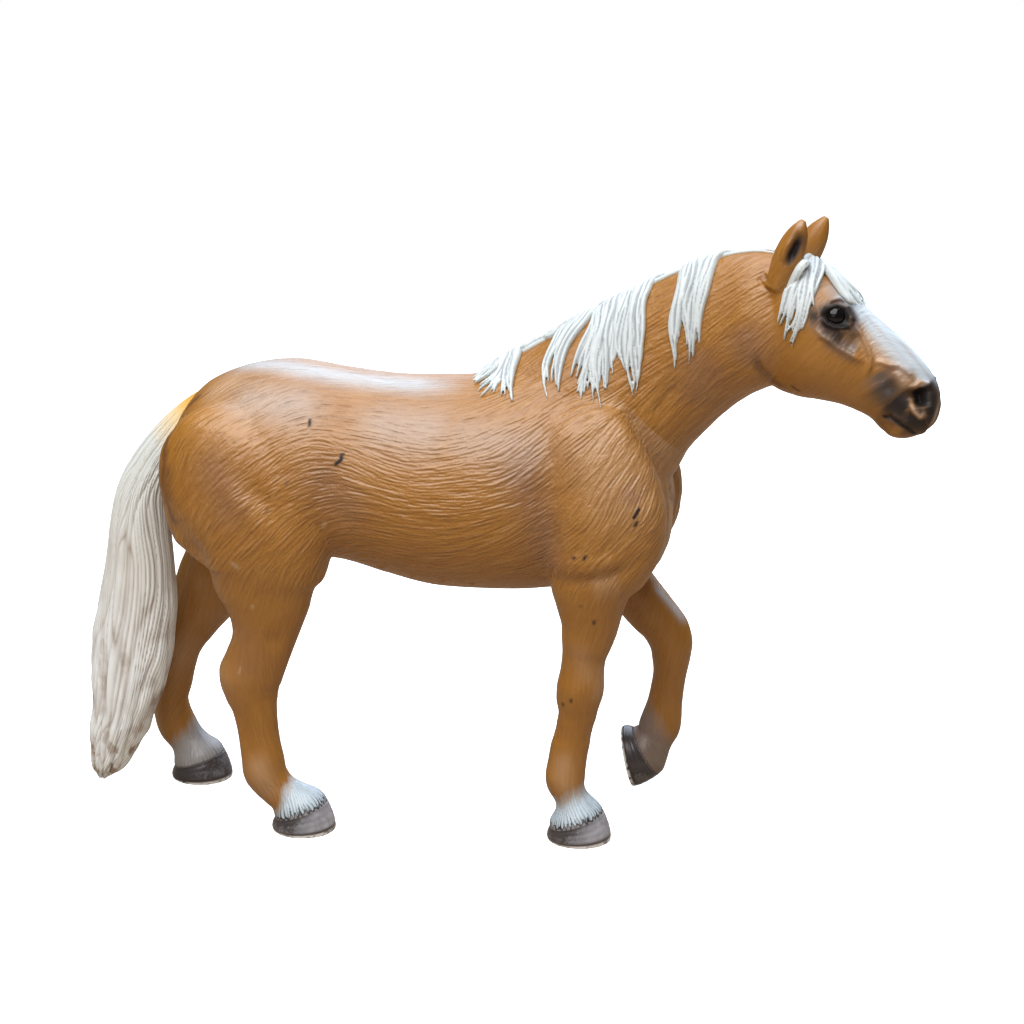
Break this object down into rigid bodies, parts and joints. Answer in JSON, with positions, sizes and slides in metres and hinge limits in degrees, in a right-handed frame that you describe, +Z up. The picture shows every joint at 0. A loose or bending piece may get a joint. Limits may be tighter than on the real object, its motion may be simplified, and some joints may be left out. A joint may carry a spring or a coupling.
{
  "type": "toy horse",
  "caption": "Solid plastic toy horse with a golden coat and a pale mane and tail, standing with its left foreleg raised and its head turned to the right.",
  "frame": {"origin": "on the ground under the centre of the figure's bounding box", "axes": "+Z up, +X the way the horse walks, +Y its left side; its head is turned 16 degrees to its right"},
  "size_m": [0.1455, 0.0368, 0.1061],
  "materials": {
    "coat": "satin painted PVC, golden with a paler back and darker creases",
    "hair": "satin painted PVC, off-white strands with grey grooves",
    "hoof_horn": "satin painted PVC, brown grey",
    "eye": "gloss black lacquer"
  },
  "bodies": {
    "root": {"torso": "coat", "head_and_neck": "coat", "right_foreleg": "coat", "left_foreleg": "coat", "right_hind_leg": "coat", "left_hind_leg": "coat", "mane": "hair", "forelock": "hair", "tail": "hair", "right_fore_hoof": "hoof_horn", "left_fore_hoof": "hoof_horn", "right_hind_hoof": "hoof_horn", "left_hind_hoof": "hoof_horn", "right_eye": "eye", "left_eye": "eye"}
  },
  "joints": []
}
